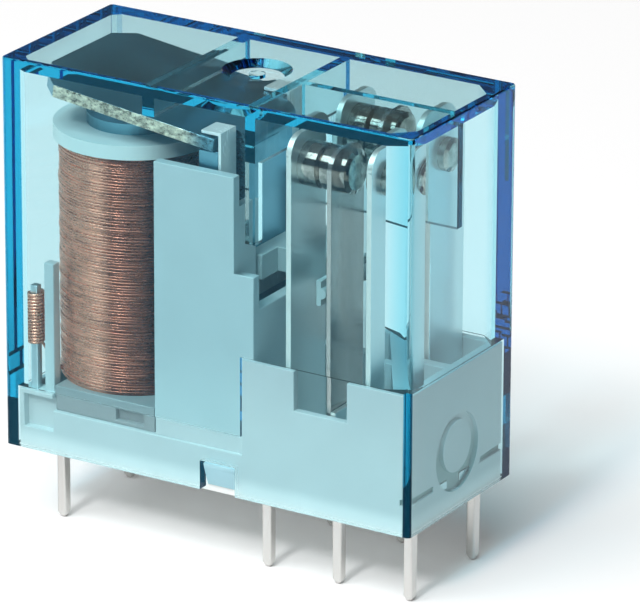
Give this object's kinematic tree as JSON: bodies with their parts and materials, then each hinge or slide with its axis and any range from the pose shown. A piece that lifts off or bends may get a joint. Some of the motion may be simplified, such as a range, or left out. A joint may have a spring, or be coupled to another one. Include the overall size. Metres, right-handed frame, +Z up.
{
  "type": "dpdt relay",
  "caption": "Upright box relay with a clear blue cover, coil and hinged armature at one end, changeover contacts at the other, on solder pins.",
  "frame": {"origin": "middle of the footprint, at the level of the pin tips", "axes": "+X from the coil end to the contact end, -Y the front that the picture shows, +Z up from the pins to the roof"},
  "size_m": [0.029, 0.0122, 0.0303],
  "materials": {
    "clear_cover": "clear moulded polycarbonate, tinted blue",
    "base_plastic": "off-white moulding",
    "bobbin_plastic": "white moulding",
    "copper_wire": "enamelled copper wire",
    "iron": "plated soft iron with sheared edges",
    "spring_steel": "rolled spring strip",
    "tinned_metal": "tinned copper alloy",
    "spring_bronze": "rolled bronze strip",
    "contact_silver": "silver alloy"
  },
  "bodies": {
    "housing": {"cover": "clear_cover", "base": "base_plastic", "bobbin": "bobbin_plastic", "winding": "copper_wire", "core": "iron", "yoke": "iron", "hinge_spring": "spring_steel", "coil_pin_front": "tinned_metal", "coil_wire_front": "copper_wire", "coil_pin_back": "tinned_metal", "coil_wire_back": "copper_wire", "nc_terminal_front": "tinned_metal", "nc_terminal_back": "tinned_metal", "com_terminal_front": "tinned_metal", "com_terminal_back": "tinned_metal", "no_terminal_front": "tinned_metal", "no_terminal_back": "tinned_metal", "nc_contact_front": "contact_silver", "nc_contact_back": "contact_silver", "no_contact_front": "contact_silver", "no_contact_back": "contact_silver"},
    "armature": {"armature": "iron", "pusher": "bobbin_plastic"},
    "blade_front": {"moving_blade_front": "spring_bronze", "moving_contact_front": "contact_silver"},
    "blade_back": {"moving_blade_back": "spring_bronze", "moving_contact_back": "contact_silver"}
  },
  "joints": [
    {"name": "armature_hinge", "type": "hinge", "parent": "housing", "child": "armature", "pos_m": [0.00014, 0, 0.02644], "axis": [0, -1, 0], "range_deg": [0, 6.6], "stiffness_Nm_per_rad": 0.01, "springref_deg": -5.73},
    {"name": "blade_flex_front", "type": "hinge", "parent": "housing", "child": "blade_front", "pos_m": [0.0083, -0.00275, 0.0116], "axis": [0, 1, 0], "range_deg": [0, 4.31], "stiffness_Nm_per_rad": 0.004, "springref_deg": -2.86},
    {"name": "blade_flex_back", "type": "hinge", "parent": "housing", "child": "blade_back", "pos_m": [0.0083, 0.00275, 0.0116], "axis": [0, 1, 0], "range_deg": [0, 4.31], "stiffness_Nm_per_rad": 0.004, "springref_deg": -2.86}
  ],
  "couplings": [
    {"joint": "blade_flex_front", "follows": "armature_hinge", "ratio": 0.6515},
    {"joint": "blade_flex_back", "follows": "armature_hinge", "ratio": 0.6515}
  ]
}
